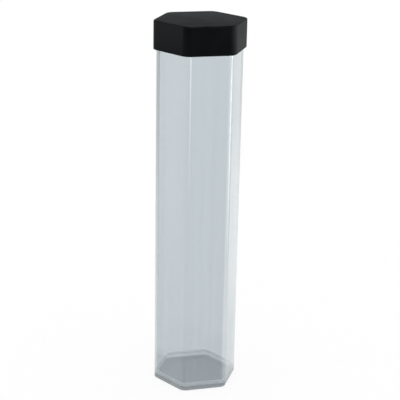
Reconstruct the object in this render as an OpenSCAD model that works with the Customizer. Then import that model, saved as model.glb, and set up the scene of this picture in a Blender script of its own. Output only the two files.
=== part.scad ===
// Hexagonal playmat tube: a clear straight tube, a clear base plugged into its foot
// and a slip-over cap that rests on its rim. Millimetres, +Z up, origin at the middle
// of the underside. A corner of the hexagon points along +X and a flat faces the front, -Y.

/* [Tube] */
// Outside width of the tube across two opposite flats
tube_across = 75.5; // [60:0.5:100]
// Wall thickness of the tube
tube_wall = 2; // [1:0.1:3]
// Outside radius of the tube's upright corners
tube_corner = 8; // [4:0.25:12]
// Length of the tube from the base's flange to its rim
tube_length = 363; // [150:1:500]

/* [Base] */
// Height of the flange that the tube stands on
flange_height = 4.4; // [3:0.1:10]
// Height of the spigot above the flange, inside the tube
spigot_height = 3.4; // [2:0.1:15]
// Thickness of the spigot's wall
spigot_wall = 1.9; // [1:0.1:4]
// Gap for the adhesive between the spigot and the tube
bond_gap = 0.1; // [0.05:0.01:0.3]
// Thickness of the base's floor
floor_thickness = 1.2; // [0.8:0.1:2]
// Depth of the recess under the floor
recess_depth = 0.4; // [0.2:0.1:0.8]
// Width of the ring around the recess that the object stands on
foot_width = 7; // [3:0.5:15]

/* [Cap] */
// How far the skirt reaches down over the tube
cap_overlap = 25.2; // [15:0.1:60]
// Thickness of the cap's top
cap_top = 2.6; // [2:0.1:5]
// Wall thickness of the skirt
cap_wall = 2.5; // [2:0.1:5]
// Gap between the skirt and the tube, on each side
cap_gap = 0.4; // [0.3:0.05:1]
// Radius of the rounded top edge
cap_top_radius = 1.5; // [0.5:0.1:1.8]
// Radius of the rounded lower edge
cap_mouth_radius = 0.8; // [0.3:0.1:1]
// Width of the lead-in bevel inside the mouth
lead_in = 0.8; // [0.3:0.1:1]

/* [Grip ribs] */
// Ribs on each inner flat of the cap
ribs_per_flat = 2; // [1:1:4]
// Distance between the outermost ribs on one flat
rib_span = 20; // [6:0.5:24]
// Radius of a rib
rib_radius = 0.8; // [0.6:0.1:1]
// Gap left between a rib and the tube
rib_clearance = 0.1; // [0.05:0.01:0.2]
// Height of the ribs' lower ends above the mouth
rib_start = 4; // [2:0.5:8]
// Length of the tapered lower end of a rib
rib_taper = 3; // [1:0.5:6]

/* [Hidden] */

// The hexagon
sides = 6;
turn = 360 / sides;
half_turn = turn / 2;

// Smoothness of true rounds, and of the cap's rounded shell, whose points miss the flats' ends
$fn = 96;
shell_fn = 54;
edge_steps = 4;
skin = 0.01;

// How far a cutting shape runs past the face that it opens
past = 1;
// Smallest radius of an inner corner
least_corner = 1;

// Inside of the tube
bore_across = tube_across - 2 * tube_wall;
bore_corner = max(tube_corner - tube_wall, least_corner);

// Spigot that fills the tube's foot, and the tray inside it
spigot_across = bore_across - 2 * bond_gap;
spigot_corner = max(bore_corner - bond_gap, least_corner);
tray_across = spigot_across - 2 * spigot_wall;
tray_corner = max(spigot_corner - spigot_wall, least_corner);
recess_across = tube_across - 2 * foot_width;
recess_corner = max(tube_corner - foot_width, least_corner);
spigot_top = flange_height + spigot_height;

// Cap around the tube's upper end
rim_z = flange_height + tube_length;
mouth_z = rim_z - cap_overlap;
cap_height = cap_overlap + cap_top;
socket_across = tube_across + 2 * cap_gap;
socket_corner = tube_corner + cap_gap;
cap_across = socket_across + 2 * cap_wall;
cap_corner = socket_corner + cap_wall;
rib_height = cap_gap - rib_clearance;

// Regular hexagon with rounded corners
module hex_outline(across, corner) {
  inner = across / 2 - corner;
  for (k = [0 : sides - 1])
    rotate(turn * k)
      translate([inner / cos(half_turn), 0])
        circle(corner);
  for (k = [0 : sides / 2 - 1])
    rotate(turn * k)
      square([2 * inner * tan(half_turn), across], center = true);
}

// Upright prism of that outline
module hex_prism(across, corner, height) {
  linear_extrude(height)
    hex_outline(across, corner);
}

// The same prism with its upper and lower edges rounded over
module soft_hex_prism(across, corner, height, top_radius, low_radius) {
  hull()
    for (a = [0 : 90 / edge_steps : 90]) {
      top_inset = top_radius * (1 - cos(a));
      low_inset = low_radius * (1 - cos(a));
      translate([0, 0, height - top_radius * (1 - sin(a)) - skin])
        hex_prism(across - 2 * top_inset, corner - top_inset, skin, $fn = shell_fn);
      translate([0, 0, low_radius * (1 - sin(a))])
        hex_prism(across - 2 * low_inset, corner - low_inset, skin, $fn = shell_fn);
    }
}

// Bevel that widens a hexagonal mouth by its width at z = 0 and runs on past both its ends
module mouth_bevel(across, corner, width) {
  inner = across / 2 - corner;
  low = width + past;
  run_on = width / 2;
  rise = low + run_on;
  for (k = [0 : sides - 1])
    rotate(turn * k)
      translate([inner / cos(half_turn), 0, -past])
        cylinder(r1 = corner + low, r2 = corner - run_on, h = rise);
  for (k = [0 : sides / 2 - 1])
    rotate(turn * k)
      translate([0, 0, -past])
        rotate([90, 0, 90])
          linear_extrude(2 * inner * tan(half_turn), center = true)
            polygon([
              [-across / 2 - low, 0],
              [across / 2 + low, 0],
              [across / 2 - run_on, rise],
              [-across / 2 + run_on, rise]
            ]);
}

// One grip rib, proud of the inner flat by rib_height, with a tapered lower end
module grip_rib(height) {
  buried = rib_radius - rib_height;
  translate([buried, 0, rib_taper])
    cylinder(r = rib_radius, h = height - rib_taper);
  translate([buried, 0, 0])
    cylinder(r1 = buried / 2, r2 = rib_radius, h = rib_taper);
}

// Ribs on every inner flat of the cap, running up into its top
module grip_ribs() {
  pitch = rib_span / max(ribs_per_flat - 1, 1);
  for (k = [0 : sides - 1])
    rotate(turn * k + half_turn)
      for (i = [0 : ribs_per_flat - 1])
        translate([socket_across / 2, (i - (ribs_per_flat - 1) / 2) * pitch, rib_start])
          grip_rib(cap_overlap - rib_start + cap_top / 2);
}

// Clear extruded tube, open at both ends
module tube() {
  color([0.78, 0.82, 0.84], 0.35)
    translate([0, 0, flange_height])
      difference() {
        hex_prism(tube_across, tube_corner, tube_length);
        translate([0, 0, -past])
          hex_prism(bore_across, bore_corner, tube_length + 2 * past);
      }
}

// Clear base: flange flush with the tube, spigot bonded inside it, shallow tray and foot recess
module base_plug() {
  color([0.7, 0.74, 0.76], 0.5)
    difference() {
      union() {
        hex_prism(tube_across, tube_corner, flange_height);
        hex_prism(spigot_across, spigot_corner, spigot_top);
      }
      translate([0, 0, recess_depth + floor_thickness])
        hex_prism(tray_across, tray_corner, spigot_top);
      translate([0, 0, -past])
        hex_prism(recess_across, recess_corner, recess_depth + past);
    }
}

// Black slip-over cap: soft-edged shell, socket with a bevelled mouth, grip ribs inside
module cap() {
  color([0.09, 0.09, 0.1])
    translate([0, 0, mouth_z])
      union() {
        difference() {
          soft_hex_prism(cap_across, cap_corner, cap_height, cap_top_radius, cap_mouth_radius);
          translate([0, 0, -past])
            hex_prism(socket_across, socket_corner, cap_overlap + past);
          mouth_bevel(socket_across, socket_corner, lead_in);
        }
        grip_ribs();
      }
}

tube();
base_plug();
cap();
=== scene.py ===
"""Looks of the hexagonal playmat tube: a clear tube, a clear base bonded into its foot
and a black slip-over cap. Everything is in metres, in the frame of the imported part:
+Z up, a corner of the hexagon along +X, a flat facing the front, -Y.
"""

import math

import bmesh
import bpy
from mathutils import Matrix, Vector


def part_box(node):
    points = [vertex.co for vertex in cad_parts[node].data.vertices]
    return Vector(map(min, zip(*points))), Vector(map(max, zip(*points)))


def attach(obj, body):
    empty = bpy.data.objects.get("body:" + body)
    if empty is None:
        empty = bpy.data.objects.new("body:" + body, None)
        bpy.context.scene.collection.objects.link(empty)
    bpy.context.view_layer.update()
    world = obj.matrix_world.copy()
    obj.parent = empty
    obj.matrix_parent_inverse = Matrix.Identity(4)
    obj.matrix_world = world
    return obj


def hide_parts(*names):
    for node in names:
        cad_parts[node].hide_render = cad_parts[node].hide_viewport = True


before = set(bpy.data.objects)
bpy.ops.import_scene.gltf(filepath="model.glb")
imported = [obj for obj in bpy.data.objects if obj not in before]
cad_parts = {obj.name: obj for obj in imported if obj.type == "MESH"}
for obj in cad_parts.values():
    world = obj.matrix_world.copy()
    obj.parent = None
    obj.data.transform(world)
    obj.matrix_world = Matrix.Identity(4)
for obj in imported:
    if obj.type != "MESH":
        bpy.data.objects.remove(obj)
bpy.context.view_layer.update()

MM = 0.001
SIDES = 6
HALF_TURN = math.pi / SIDES

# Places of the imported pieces
TUBE_LOW, TUBE_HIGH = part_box("tube")
BASE_LOW, BASE_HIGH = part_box("base_plug")
CAP_LOW, CAP_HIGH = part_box("cap")

# Tube and base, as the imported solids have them
TUBE_WALL = 2.0 * MM
BOND_GAP = 0.1 * MM
SPIGOT_WALL = 1.9 * MM
FLOOR_THICKNESS = 1.2 * MM
RECESS_DEPTH = 0.4 * MM
FOOT_WIDTH = 7.0 * MM

# Finer shapes of the tube and the base
CLEAR_EDGE = 0.25 * MM
TRAY_FILLET = 1.4 * MM
FILM_THICKNESS = 0.05 * MM

# Cap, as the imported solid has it
CAP_WALL = 2.5 * MM
CAP_TOP_RADIUS = 1.5 * MM
CAP_MOUTH_RADIUS = 0.8 * MM
LEAD_IN = 0.8 * MM
RIB_SPAN = 20.0 * MM
RIB_RADIUS = 0.8 * MM
RIB_HEIGHT = 0.3 * MM
RIB_START = 4.0 * MM
RIB_TAPER = 3.0 * MM

# Fineness of the meshes
CORNER_STEPS = 24
EDGE_STEPS = 6
RIB_STEPS = 8
SHARP_ANGLE = math.radians(35)
LEAST_CORNER = 0.6 * MM

# Tints that light takes on at the surfaces of the tube
WALL_TINT = (0.724, 0.763, 0.785)
STREAK_TINT = (0.696, 0.735, 0.757)
# Painted light: the wall is lighter towards the top of the tube and darker towards its foot
UPPER_LIGHT_TINT = (0.738, 0.778, 0.796)
SLID_TINT = (0.86, 0.89, 0.9)
# Painted shade at the tube's cut rim, where one looks along the wall
CUT_SHADE_TINT = (0.28, 0.32, 0.34)
# Painted reflection of the cap's dark in the tube's corners
SHADE_TINT = (0.02, 0.025, 0.028)
# Painted light gathered in the tube's corners
GLOW_TINT = (1.0, 1.0, 1.0)
# Painted shade along the wall's edges, where light runs through the most plastic
EDGE_TINT = (0.32, 0.35, 0.36)
DEEP_EDGE_TINT = (0.17, 0.19, 0.2)

# Shares of those tints: painted top light, slide marks, painted edge shade at the foot
UPPER_LIGHT_SHARE = 0.7
SLID_SHARE = 0.5
FOOT_EDGE_SHARE = 0.4

# Turns away from the eye, from 0 facing to 1 edge on, over which painted glow, shade and edge shade set in
# or end
GLOW_SETS_IN = (0.16, 0.32)
GLOW_ENDS = (0.45, 0.7)
SHADE_SETS_IN = (0.34, 0.44)
SLANT_SETS_IN = (0.6, 0.7)

# Heights on the tube, from 0 to 1, over which the slide marks and the painted edge shade set in
SLID_HEIGHTS = (0.92, 0.94)
EDGE_HEIGHTS = (0.1, 0.9)
DEEP_EDGE_HEIGHTS = (0.4, 0.75)

# Painted light and shade in the tube's wall: narrowness of glow and shade at a corner, and the shade left
# halfway down
GLOW_POWER = 3
SHADE_POWER = 0.25
HALFWAY_SHADE = 0.35

# Slack in telling that light crossed the tube's wall straight from face to face
WALL_SLACK = 0.03 * MM

# Base: its tints, and a painted shadow of what it stands on, seen through its underside, with its share on
# its rim and inside
BASE_TINT = (0.95, 0.96, 0.97)
FLOW_TINT = (0.9, 0.92, 0.93)
UNDERSIDE_SHADOW_TINT = (0.134, 0.158, 0.174)
RIM_DIM = 0.6
INSIDE_DIM = 0.1

# Film of adhesive: its colour, and how much its thin and its thick places cover
FILM_COLOUR = (0.95, 0.98, 1.0)
FILM_COVER = (0.34, 0.46)

# Cap: its colours and the roughness of its sides, with what its top adds and rubbing takes off
BLACK = (0.0024, 0.0025, 0.0028)
CLOUDED_BLACK = (0.0034, 0.0036, 0.004)
RUBBED_BLACK = (0.0075, 0.0078, 0.0083)
SIDE_ROUGHNESS = (0.33, 0.4)
TOP_ROUGHER = 0.18
RUBBED_SMOOTHER = 0.06
FACING_UP = (0.5, 1.0)

# Noise in the materials, in cells per metre along each axis
STREAK_CELLS = (160.0, 160.0, 2.5)
HAZE_CELLS = (14.0, 14.0, 5.0)
HAIRLINE_CELLS = (1400.0, 1400.0, 40.0)
SLID_CELLS = (900.0, 900.0, 12.0)
FILM_CELLS = (300.0, 300.0, 300.0)
GRAIN_CELLS = (2200.0, 2200.0, 2200.0)
CLOUD_CELLS = (60.0, 60.0, 60.0)
PATCH_CELLS = (110.0, 110.0, 110.0)
CAP_HAIRLINE_CELLS = (35.0, 1600.0, 900.0)

# Spans of the noise that are spread out over the range from 0 to 1
MOST_NOISE = (0.3, 0.7)
HAIRLINE_NOISE = (0.66, 0.72)
PATCH_NOISE = (0.42, 0.62)

# Roughness of the clear plastic where it is haziest
HAZE_ROUGHNESS = 0.08

# Strengths and depths of the bumps in the surfaces
WAVE_DEPTH = 0.4 * MM
HAIRLINE_DEPTH = 0.02 * MM
GRAIN_DEPTH = 0.05 * MM
CLEAR_HAIRLINES = 0.1
CAP_HAIRLINES = 0.15
CAP_GRAIN = 0.15

# Camera at the photograph's viewing angle
IMAGE_WIDTH = 400
FOCAL_PIXELS = 1168.6
SENSOR_WIDTH = 36.0
CAMERA_AZIMUTH = math.radians(-14.255)
CAMERA_ELEVATION = math.radians(19.015)
CAMERA_ROLL = math.radians(1.078)
CAMERA_DISTANCE = 1158.6 * MM
CAMERA_AIM_HEIGHT = 185.0 * MM
CAMERA_AIM_RIGHT = 2.436 * MM
CAMERA_AIM_UP = 4.415 * MM

# Studio
FLOOR_SIZE = 12.0
FLOOR_DROP = 0.05 * MM
FLOOR_WHITE = 0.99
FLOOR_GLOW = 0.85
WORLD_LIGHT = 1.0
# Share of a lamp's width and height over which each edge fades out
FEATHER = 0.3
# What a lamp lights, so that the floor keeps its own even white
CLEAR_LIT = bpy.data.collections.new("clear_lit")
BLACK_LIT = bpy.data.collections.new("black_lit")


def hexagon(high):
    """Width across flats and corner radius of the rounded hexagon that reaches a box's high corner."""
    half = high.y
    inner = (high.x - half) / (1 / math.cos(HALF_TURN) - 1)
    return 2 * half, half - inner


def hex_ring(across, corner, z, bumps=(), rise=0.0):
    """Points round a hexagon with rounded corners. Each flat also has the points of its bumps,
    pairs of a place along the flat and a depth, which step inwards by rise times that depth."""
    inner = across / 2 - corner
    reach = inner / math.cos(HALF_TURN)
    points = []
    for side in range(SIDES):
        middle = 2 * HALF_TURN * side
        for step in range(CORNER_STEPS + 1):
            angle = middle - HALF_TURN + 2 * HALF_TURN * step / CORNER_STEPS
            x = reach * math.cos(middle) + corner * math.cos(angle)
            y = reach * math.sin(middle) + corner * math.sin(angle)
            points.append(Vector((x, y, z)))
        facing = middle + HALF_TURN
        out = Vector((math.cos(facing), math.sin(facing), 0))
        along = Vector((-out.y, out.x, 0))
        for place, depth in bumps:
            points.append(out * (across / 2 - rise * depth) + along * place + Vector((0, 0, z)))
    return points


def prism_rings(across, corner, profile):
    """Rings of a hexagonal piece from its profile of insets and heights."""
    rings = []
    for inset, z in profile:
        rings.append(hex_ring(across - 2 * inset, max(corner - inset, LEAST_CORNER), z))
    return rings


def rounded(inset, z, radius, start, end):
    """Points of an arc in the plane of inset and height, from one angle to another in degrees."""
    arc = []
    for step in range(EDGE_STEPS + 1):
        angle = math.radians(start + (end - start) * step / EDGE_STEPS)
        arc.append((inset + radius * math.cos(angle), z + radius * math.sin(angle)))
    return arc


def loft(name, rings, closed):
    """Mesh through rings of equally many points: closed on itself, or with a face at each end."""
    mesh = bmesh.new()
    rows = [[mesh.verts.new(point) for point in ring] for ring in rings]
    count = len(rows[0])
    pairs = list(zip(rows, rows[1:]))
    if closed:
        pairs.append((rows[-1], rows[0]))
    for low, high in pairs:
        for i in range(count):
            j = (i + 1) % count
            mesh.faces.new((low[i], low[j], high[j], high[i]))
    if not closed:
        mesh.faces.new(list(reversed(rows[0])))
        mesh.faces.new(rows[-1])
    bmesh.ops.recalc_face_normals(mesh, faces=mesh.faces)
    data = bpy.data.meshes.new(name)
    mesh.to_mesh(data)
    mesh.free()
    data.shade_smooth()
    data.set_sharp_from_angle(angle=SHARP_ANGLE)
    piece = bpy.data.objects.new(name, data)
    bpy.context.scene.collection.objects.link(piece)
    return piece


def paint_rings(piece, name, shares, weights):
    """Gives each point of a loft a number that its material reads: the share of the point's ring
    times the weight of its place round the ring."""
    layer = piece.data.attributes.new(name, "FLOAT", "POINT")
    layer.data.foreach_set("value", [share * weight for share in shares for weight in weights])


def corner_weights(power):
    """How far each point of a ring is turned into a corner: 1 in the corner's middle, 0 on the flats."""
    arc = [math.sin(math.pi * step / CORNER_STEPS) ** power for step in range(CORNER_STEPS + 1)]
    return arc * SIDES


def dress_strips(piece, strips, count, material):
    """Gives some of the strips between a loft's rings, of count faces each, another material."""
    slot = len(piece.data.materials)
    piece.data.materials.append(material)
    for face in piece.data.polygons:
        if face.index // count in strips:
            face.material_index = slot


def new_material(name):
    """A node material and its Principled shader."""
    material = bpy.data.materials.new(name)
    material.use_nodes = True
    return material, material.node_tree, material.node_tree.nodes["Principled BSDF"]


def set_inputs(node, **values):
    """Sets input sockets by name, with _ for a space."""
    for name, value in values.items():
        node.inputs[name.replace("_", " ")].default_value = value


def painted(tree, name):
    """The number that paint_rings gave to each point."""
    node = tree.nodes.new("ShaderNodeAttribute")
    node.attribute_name = name
    return node.outputs["Fac"]


def math_node(tree, operation, first, second):
    """Arithmetic on two values from nodes, kept between 0 and 1."""
    node = tree.nodes.new("ShaderNodeMath")
    node.operation = operation
    node.use_clamp = True
    tree.links.new(first, node.inputs[0])
    tree.links.new(second, node.inputs[1])
    return node.outputs["Value"]


def product(tree, first, *others):
    """Product of values from nodes, kept between 0 and 1 at each step."""
    for other in others:
        first = math_node(tree, "MULTIPLY", first, other)
    return first


def near(tree, value, target, slack):
    """1 where a value from nodes is within a slack of a target, 0 elsewhere."""
    node = tree.nodes.new("ShaderNodeMath")
    node.operation = "COMPARE"
    tree.links.new(value, node.inputs[0])
    node.inputs[1].default_value = target
    node.inputs[2].default_value = slack
    return node.outputs["Value"]


def remap(tree, value, low, high, to_low, to_high):
    """A value's range mapped to another range, clamped."""
    node = tree.nodes.new("ShaderNodeMapRange")
    set_inputs(node, From_Min=low, From_Max=high, To_Min=to_low, To_Max=to_high)
    tree.links.new(value, node.inputs["Value"])
    return node.outputs["Result"]


def rising(tree, value, start, end, most=1.0):
    """0 while a value is under a start, and its most when the value is past an end."""
    return remap(tree, value, start, end, 0, most)


def falling(tree, value, start, end):
    """1 while a value is under a start, and 0 when it is past an end."""
    return remap(tree, value, start, end, 1, 0)


def noise(tree, cells, detail=4.0):
    """Noise in the piece's own coordinates."""
    place = tree.nodes.new("ShaderNodeTexCoord")
    mapping = tree.nodes.new("ShaderNodeMapping")
    set_inputs(mapping, Scale=cells)
    texture = tree.nodes.new("ShaderNodeTexNoise")
    set_inputs(texture, Scale=1.0, Detail=detail, Roughness=0.5)
    tree.links.new(place.outputs["Object"], mapping.inputs["Vector"])
    tree.links.new(mapping.outputs["Vector"], texture.inputs["Vector"])
    return texture.outputs["Fac"]


def hairlines(tree, cells):
    """1 along sparse fine scratches, 0 elsewhere."""
    return rising(tree, noise(tree, cells, detail=2.0), *HAIRLINE_NOISE)


def upright_part(tree, coordinates):
    """Z of the piece's own coordinates: Generated for the height, from 0 to 1, Normal for facing up."""
    place = tree.nodes.new("ShaderNodeTexCoord")
    split = tree.nodes.new("ShaderNodeSeparateXYZ")
    tree.links.new(place.outputs[coordinates], split.inputs["Vector"])
    return split.outputs["Z"]


def mix_colour(tree, factor, first, second):
    """A colour between a colour or a colour from nodes and another colour, by a factor from nodes."""
    node = tree.nodes.new("ShaderNodeMix")
    node.data_type = "RGBA"
    if isinstance(first, tuple):
        node.inputs["A"].default_value = (*first, 1)
    else:
        tree.links.new(first, node.inputs["A"])
    node.inputs["B"].default_value = (*second, 1)
    tree.links.new(factor, node.inputs["Factor"])
    return node.outputs["Result"]


def bump(tree, height, strength, distance, under=None):
    """A normal from a height, on top of another normal where one is given."""
    node = tree.nodes.new("ShaderNodeBump")
    set_inputs(node, Strength=strength, Distance=distance)
    tree.links.new(height, node.inputs["Height"])
    if under:
        tree.links.new(under, node.inputs["Normal"])
    return node.outputs["Normal"]


def turned_away(tree, normal=None):
    """How far a surface is turned away from a ray: 0 facing it, 1 edge on."""
    layer = tree.nodes.new("ShaderNodeLayerWeight")
    set_inputs(layer, Blend=0.5)
    if normal:
        tree.links.new(normal, layer.inputs["Normal"])
    return layer.outputs["Facing"]


def clear_plastic(name, coat_roughness, wave):
    """Thin clear plastic. Light goes straight through its walls, and the coat carries the gloss.
    Returns the material, its nodes, its shader and the streaks that drawing or moulding left."""
    material, tree, shader = new_material(name)
    set_inputs(shader, Transmission_Weight=1.0, IOR=1.0)
    set_inputs(shader, Coat_Weight=1.0, Coat_IOR=1.5, Coat_Roughness=coat_roughness)
    haze = noise(tree, HAZE_CELLS, detail=5.0)
    tree.links.new(rising(tree, haze, *MOST_NOISE, HAZE_ROUGHNESS), shader.inputs["Roughness"])
    streaks = noise(tree, STREAK_CELLS, detail=3.0)
    waves = bump(tree, streaks, wave, WAVE_DEPTH)
    scratched = bump(tree, hairlines(tree, HAIRLINE_CELLS), CLEAR_HAIRLINES, HAIRLINE_DEPTH, waves)
    tree.links.new(scratched, shader.inputs["Normal"])
    tree.links.new(scratched, shader.inputs["Coat Normal"])
    return material, tree, shader, rising(tree, streaks, *MOST_NOISE)


def along_wall(tree):
    """1 where a ray leaves the tube's wall through its outside after one pass that didn't cross it
    from face to face, so that it ran along the wall. 0 elsewhere."""
    path = tree.nodes.new("ShaderNodeLightPath")
    surface = tree.nodes.new("ShaderNodeNewGeometry")
    facing = falling(tree, turned_away(tree, surface.outputs["True Normal"]), 0, 1)
    thickness = product(tree, path.outputs["Ray Length"], facing)
    not_across = falling(tree, near(tree, thickness, TUBE_WALL, WALL_SLACK), 0, 1)
    one_pass = near(tree, path.outputs["Transmission Depth"], target=1, slack=0.5)
    straight = product(tree, one_pass, path.outputs["Is Transmission Ray"])
    return product(tree, straight, not_across, painted(tree, "outside"))


def tube_plastic():
    """Clear tube wall with faint drawn streaks and marks where the cap slides. The rest is painted light
    and shade: lighter towards its top and darker towards its foot, darker at its cut rim, and, half turned
    away from the eye, light gathered in its corners. Turned further, the corners are painted with the dark
    of the cap inside, and along the edges, where light runs through the most plastic, the wall is painted
    at its darkest."""
    material, tree, shader, streaks = clear_plastic("clear_wall", coat_roughness=0.04, wave=0.06)
    height = upright_part(tree, "Generated")
    turned = turned_away(tree)
    leaving = tree.nodes.new("ShaderNodeNewGeometry").outputs["Backfacing"]
    # Painted light that the corners gather, on the way into the tube
    into_tube = product(tree, painted(tree, "corner"), remap(tree, leaving, 0, 1, 1, -1))
    half_turned = product(tree, rising(tree, turned, *GLOW_SETS_IN), falling(tree, turned, *GLOW_ENDS))
    glow = product(tree, into_tube, half_turned)
    # Painted reflection of the cap's dark at the corners inside, strongest near the rim
    shade = product(tree, painted(tree, "shade"), leaving, rising(tree, turned, *SHADE_SETS_IN))
    slid = product(tree, hairlines(tree, SLID_CELLS), rising(tree, height, *SLID_HEIGHTS, SLID_SHARE))
    # Painted shade along the edges, strongest towards the top
    edge = product(tree, along_wall(tree), remap(tree, height, *EDGE_HEIGHTS, FOOT_EDGE_SHARE, 1))
    slanting = product(tree, edge, rising(tree, turned, *SLANT_SETS_IN))
    deep_edge = product(tree, slanting, rising(tree, height, *DEEP_EDGE_HEIGHTS))
    colour = mix_colour(tree, streaks, WALL_TINT, STREAK_TINT)
    # Painted light: lighter towards the top of the tube, darker towards its foot
    colour = mix_colour(tree, rising(tree, height, 0, 1, UPPER_LIGHT_SHARE), colour, UPPER_LIGHT_TINT)
    colour = mix_colour(tree, slid, colour, SLID_TINT)
    # Painted shade at the cut rim
    colour = mix_colour(tree, painted(tree, "cut"), colour, CUT_SHADE_TINT)
    # Painted reflection of the cap's dark inside the corners
    colour = mix_colour(tree, shade, colour, SHADE_TINT)
    # Painted light gathered in the corners
    colour = mix_colour(tree, glow, colour, GLOW_TINT)
    # Painted shade along the edges
    colour = mix_colour(tree, edge, colour, EDGE_TINT)
    colour = mix_colour(tree, deep_edge, colour, DEEP_EDGE_TINT)
    tree.links.new(colour, shader.inputs["Base Color"])
    return material


def base_plastic():
    """Clear moulded base, with a painted shadow of what it stands on: its underside is painted dark."""
    material, tree, shader, streaks = clear_plastic("clear_foot", coat_roughness=0.06, wave=0.03)
    colour = mix_colour(tree, streaks, BASE_TINT, FLOW_TINT)
    # Painted shadow of what the base stands on, seen through its underside
    colour = mix_colour(tree, painted(tree, "dim"), colour, UNDERSIDE_SHADOW_TINT)
    tree.links.new(colour, shader.inputs["Base Color"])
    return material


def bond_film():
    """Cured adhesive between the base and the tube: a faintly milky film of uneven cover."""
    material, tree, shader = new_material("bond_film")
    tree.nodes.remove(shader)
    clear = tree.nodes.new("ShaderNodeBsdfTransparent")
    front = tree.nodes.new("ShaderNodeBsdfDiffuse")
    back = tree.nodes.new("ShaderNodeBsdfTranslucent")
    milk = tree.nodes.new("ShaderNodeMixShader")
    blend = tree.nodes.new("ShaderNodeMixShader")
    for node in (front, back):
        set_inputs(node, Color=(*FILM_COLOUR, 1))
    cover = remap(tree, noise(tree, FILM_CELLS), *MOST_NOISE, *FILM_COVER)
    tree.links.new(front.outputs["BSDF"], milk.inputs[1])
    tree.links.new(back.outputs["BSDF"], milk.inputs[2])
    tree.links.new(cover, blend.inputs["Fac"])
    tree.links.new(clear.outputs["BSDF"], blend.inputs[1])
    tree.links.new(milk.outputs["Shader"], blend.inputs[2])
    tree.links.new(blend.outputs["Shader"], tree.nodes["Material Output"].inputs["Surface"])
    return material


def black_plastic():
    """Matte black moulded plastic: a fine sparked grain, rougher on the top, clouding, sparse hairlines,
    and edges that handling has rubbed a little smoother and paler."""
    material, tree, shader = new_material("black_plastic")
    set_inputs(shader, Specular_IOR_Level=0.0165, Specular_Tint=(0.86, 0.95, 1.0, 1))
    set_inputs(shader, Sheen_Weight=0.008, Sheen_Roughness=0.4, Sheen_Tint=(0.5, 0.9, 1.0, 1))
    clouds = rising(tree, noise(tree, CLOUD_CELLS, detail=6.0), *MOST_NOISE)
    patches = rising(tree, noise(tree, PATCH_CELLS, detail=6.0), *PATCH_NOISE)
    rubbed = product(tree, painted(tree, "wear"), patches)
    colour = mix_colour(tree, clouds, BLACK, CLOUDED_BLACK)
    colour = mix_colour(tree, rubbed, colour, RUBBED_BLACK)
    tree.links.new(colour, shader.inputs["Base Color"])
    sides = remap(tree, clouds, 0, 1, *SIDE_ROUGHNESS)
    top = rising(tree, upright_part(tree, "Normal"), *FACING_UP, TOP_ROUGHER)
    unworn = math_node(tree, "ADD", sides, top)
    worn = math_node(tree, "SUBTRACT", unworn, rising(tree, rubbed, 0, 1, RUBBED_SMOOTHER))
    tree.links.new(worn, shader.inputs["Roughness"])
    scratched = bump(tree, hairlines(tree, CAP_HAIRLINE_CELLS), CAP_HAIRLINES, HAIRLINE_DEPTH)
    grain = bump(tree, noise(tree, GRAIN_CELLS, detail=2.0), CAP_GRAIN, GRAIN_DEPTH, scratched)
    tree.links.new(grain, shader.inputs["Normal"])
    return material


def make_tube():
    """Clear hexagonal tube with its rim eased. The film covers its lower end and its seat on the spigot."""
    across, corner = hexagon(TUBE_HIGH)
    low = TUBE_LOW.z + FILM_THICKNESS
    high = TUBE_HIGH.z
    edge = CLEAR_EDGE
    outside = [(0, low)] + rounded(edge, high - edge, edge, 180, 90)
    rim = rounded(TUBE_WALL - edge, high - edge, edge, 90, 0)
    halfway = [(TUBE_WALL, (low + high) / 2)]
    seat = [(TUBE_WALL, BASE_HIGH.z), (TUBE_WALL, low)]
    inside = rim + halfway + seat
    rings = prism_rings(across, corner, outside + inside)
    piece = loft("clear_tube", rings, closed=True)
    even = [1.0] * len(rings[0])
    over_edge = [step / EDGE_STEPS for step in range(EDGE_STEPS + 1)]
    # Weights of the painted shade at the cut rim
    cuts = [0.0] + over_edge + over_edge[::-1] + [0.0] * len(halfway + seat)
    # Weights of the painted reflection of the cap's dark, strongest at the rim
    shades = [0.0] * len(outside) + [1.0] * len(rim) + [HALFWAY_SHADE] + [0.0] * len(seat)
    # Marks the outside, where the painted edge shade falls
    paint_rings(piece, "outside", [1.0] * len(outside) + [0.0] * len(inside), even)
    paint_rings(piece, "cut", cuts, even)
    # Weights of the painted light gathered in the corners
    paint_rings(piece, "corner", [1.0] * len(outside) + [-1.0] * len(inside), corner_weights(GLOW_POWER))
    paint_rings(piece, "shade", shades, corner_weights(SHADE_POWER))
    piece.data.materials.append(tube_plastic())
    dress_strips(piece, (len(rings) - 2, len(rings) - 1), len(even), bond_film())
    CLEAR_LIT.objects.link(piece)
    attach(piece, "tube_body")
    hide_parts("tube")


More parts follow.
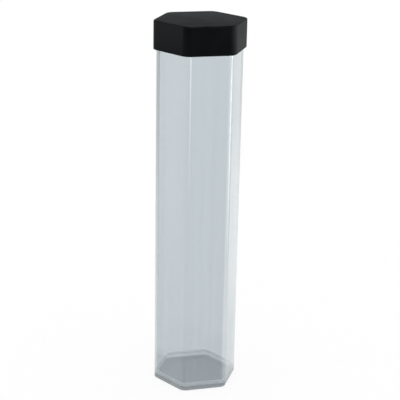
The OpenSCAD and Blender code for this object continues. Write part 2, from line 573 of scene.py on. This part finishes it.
def make_base():
    """Clear base: flange, spigot, shallow tray and foot ring."""
    across, corner = hexagon(BASE_HIGH)
    edge = CLEAR_EDGE
    foot = BASE_LOW.z
    flange = TUBE_LOW.z
    top = BASE_HIGH.z
    recess = foot + RECESS_DEPTH
    floor = recess + FLOOR_THICKNESS
    spigot = TUBE_WALL + BOND_GAP
    tray = spigot + SPIGOT_WALL
    under = [(FOOT_WIDTH, recess)] + rounded(FOOT_WIDTH - edge, foot + edge, edge, 0, -90) + [(edge, foot)]
    rim = rounded(edge, foot + edge, edge, -90, -180)[1:] + [(0, flange)]
    inside = [(spigot, flange)] + rounded(spigot + edge, top - edge, edge, 180, 90)
    inside += rounded(tray - edge, top - edge, edge, 90, 0)
    inside += rounded(tray + TRAY_FILLET, floor + TRAY_FILLET, TRAY_FILLET, 180, 270)
    rings = prism_rings(across, corner, under + rim + inside)
    piece = loft("clear_base", rings, closed=False)
    # Shares of the painted shadow of what the base stands on
    dims = [1.0] * len(under) + [RIM_DIM] * len(rim) + [INSIDE_DIM] * len(inside)
    paint_rings(piece, "dim", dims, [1.0] * len(rings[0]))
    piece.data.materials.append(base_plastic())
    CLEAR_LIT.objects.link(piece)
    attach(piece, "tube_body")
    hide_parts("base_plug")


def rib_bumps():
    """Places along a flat of the points across its grip ribs, each with its depth."""
    buried = RIB_RADIUS - RIB_HEIGHT
    half_width = math.sqrt(RIB_RADIUS**2 - buried**2)
    bumps = []
    for middle in (-RIB_SPAN / 2, RIB_SPAN / 2):
        for step in range(RIB_STEPS + 1):
            place = half_width * (2 * step / RIB_STEPS - 1)
            bumps.append((middle + place, math.sqrt(RIB_RADIUS**2 - place**2) - buried))
    return bumps


def make_cap():
    """Black cap: soft-edged shell over a socket with a bevelled mouth and tapered grip ribs."""
    across, corner = hexagon(CAP_HIGH)
    mouth = CAP_LOW.z
    top = CAP_HIGH.z
    ceiling = TUBE_HIGH.z
    ribbed = [(CAP_WALL, ceiling), (CAP_WALL, mouth + RIB_START + RIB_TAPER)]
    plain = [(CAP_WALL, mouth + RIB_START), (CAP_WALL, mouth + LEAD_IN), (CAP_WALL - LEAD_IN, mouth)]
    plain += rounded(CAP_MOUTH_RADIUS, mouth + CAP_MOUTH_RADIUS, CAP_MOUTH_RADIUS, -90, -180)
    plain += rounded(CAP_TOP_RADIUS, top - CAP_TOP_RADIUS, CAP_TOP_RADIUS, 180, 90)
    bumps = rib_bumps()
    rings = []
    for profile, rise in ((ribbed, 1), (plain, 0)):
        for inset, z in profile:
            rings.append(hex_ring(across - 2 * inset, corner - inset, z, bumps, rise))
    piece = loft("black_cap", rings, closed=False)
    over_edge = [math.sin(math.pi * step / EDGE_STEPS) for step in range(EDGE_STEPS + 1)]
    wear = [0.0] * (len(rings) - 2 * len(over_edge)) + over_edge + over_edge
    paint_rings(piece, "wear", wear, [1.0] * len(rings[0]))
    piece.data.materials.append(black_plastic())
    BLACK_LIT.objects.link(piece)
    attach(piece, "cap_body")
    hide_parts("cap")


def set_camera():
    """Camera at the photograph's viewing angle and framing."""
    level = math.cos(CAMERA_ELEVATION)
    right = Vector((math.cos(CAMERA_AZIMUTH), math.sin(CAMERA_AZIMUTH), 0))
    back = Vector((right.y * level, -right.x * level, math.sin(CAMERA_ELEVATION)))
    up = back.cross(right)
    aim = Vector((0, 0, CAMERA_AIM_HEIGHT)) + right * CAMERA_AIM_RIGHT + up * CAMERA_AIM_UP
    across = right * math.cos(CAMERA_ROLL) + up * math.sin(CAMERA_ROLL)
    above = up * math.cos(CAMERA_ROLL) - right * math.sin(CAMERA_ROLL)
    turn = Matrix((across, above, back)).transposed().to_4x4()
    camera = bpy.data.objects.new("camera", bpy.data.cameras.new("camera"))
    camera.data.sensor_width = SENSOR_WIDTH
    camera.data.lens = SENSOR_WIDTH * FOCAL_PIXELS / IMAGE_WIDTH
    camera.matrix_world = Matrix.Translation(aim + back * CAMERA_DISTANCE) @ turn
    bpy.context.scene.collection.objects.link(camera)
    bpy.context.scene.camera = camera


def seen_directly(tree):
    """1 for a camera, glossy or transmission ray, 0 for the rest."""
    path = tree.nodes.new("ShaderNodeLightPath")
    total = path.outputs["Is Camera Ray"]
    for ray in ("Is Glossy Ray", "Is Transmission Ray"):
        total = math_node(tree, "ADD", total, path.outputs[ray])
    return total


def make_floor():
    """Plain white floor. Seen directly, part of it glows, so that it is white but keeps the shadow."""
    mesh = bpy.data.meshes.new("floor")
    half = FLOOR_SIZE / 2
    corners = [(x * half, y * half, -FLOOR_DROP) for x, y in ((-1, -1), (1, -1), (1, 1), (-1, 1))]
    mesh.from_pydata(corners, [], [(0, 1, 2, 3)])
    floor = bpy.data.objects.new("floor", mesh)
    bpy.context.scene.collection.objects.link(floor)
    material, tree, shader = new_material("floor_white")
    set_inputs(shader, Base_Color=(FLOOR_WHITE, FLOOR_WHITE, FLOOR_WHITE, 1))
    set_inputs(shader, Roughness=1.0, Specular_IOR_Level=0.0)
    glow = tree.nodes.new("ShaderNodeEmission")
    blend = tree.nodes.new("ShaderNodeMixShader")
    tree.links.new(rising(tree, seen_directly(tree), 0, 1, FLOOR_GLOW), blend.inputs["Fac"])
    tree.links.new(shader.outputs["BSDF"], blend.inputs[1])
    tree.links.new(glow.outputs["Emission"], blend.inputs[2])
    tree.links.new(blend.outputs["Shader"], tree.nodes["Material Output"].inputs["Surface"])
    floor.data.materials.append(material)


def make_world():
    """Even white surroundings, which light the object at a plain level and are its backdrop."""
    world = bpy.data.worlds.new("studio")
    world.use_nodes = True
    set_inputs(world.node_tree.nodes["Background"], Color=(1, 1, 1, 1), Strength=WORLD_LIGHT)
    bpy.context.scene.world = world


def feather(lamp):
    """Lets a lamp fade out towards its edges, as the cloth of a softbox does."""
    lamp.use_nodes = True
    tree = lamp.node_tree
    place = tree.nodes.new("ShaderNodeNewGeometry")
    split = tree.nodes.new("ShaderNodeSeparateXYZ")
    tree.links.new(place.outputs["Parametric"], split.inputs["Vector"])
    fades = []
    for axis in ("X", "Y"):
        fades.append(rising(tree, split.outputs[axis], 0, FEATHER))
        fades.append(falling(tree, split.outputs[axis], 1 - FEATHER, 1))
    tree.links.new(product(tree, *fades), tree.nodes["Emission"].inputs["Strength"])


def softbox(name, lit, azimuth, distance, width, low, high, radiance):
    """Upright rectangular lamp that faces the object's axis, at an azimuth in degrees from +X.
    It lights only the pieces in the collection lit."""
    height = high - low
    lamp = bpy.data.lights.new(name, "AREA")
    lamp.shape = "RECTANGLE"
    lamp.size = width
    lamp.size_y = height
    lamp.energy = radiance * math.pi * width * height
    feather(lamp)
    box = bpy.data.objects.new(name, lamp)
    angle = math.radians(azimuth)
    box.location = (distance * math.cos(angle), distance * math.sin(angle), (low + high) / 2)
    facing = Vector((-math.cos(angle), -math.sin(angle), 0))
    box.rotation_euler = facing.to_track_quat("-Z", "Y").to_euler()
    box.visible_camera = False
    box.visible_transmission = False
    box.light_linking.receiver_collection = lit
    bpy.context.scene.collection.objects.link(box)


def make_lamps():
    """Two large softboxes for the cap, and strips and weak cards that the clear pieces mirror."""
    softbox("right_softbox", BLACK_LIT, azimuth=-14, distance=0.8,
            width=1.4, low=0.02, high=0.9, radiance=8.4)
    softbox("left_softbox", BLACK_LIT, azimuth=170, distance=0.8,
            width=1.0, low=0.02, high=0.95, radiance=4.9)
    softbox("right_strip", CLEAR_LIT, azimuth=-20, distance=0.35,
            width=0.2, low=0.03, high=0.6, radiance=6.2)
    softbox("front_strip", CLEAR_LIT, azimuth=268, distance=0.71,
            width=0.27, low=0.02, high=0.86, radiance=5.0)
    softbox("right_card", CLEAR_LIT, azimuth=38, distance=0.15,
            width=0.13, low=0.0, high=0.25, radiance=0.25)
    softbox("left_card", CLEAR_LIT, azimuth=165, distance=0.33,
            width=0.16, low=0.0, high=0.36, radiance=0.25)


set_camera()
make_floor()
make_world()
make_lamps()
make_tube()
make_base()
make_cap()

bpy.context.scene.view_settings.view_transform = "Standard"
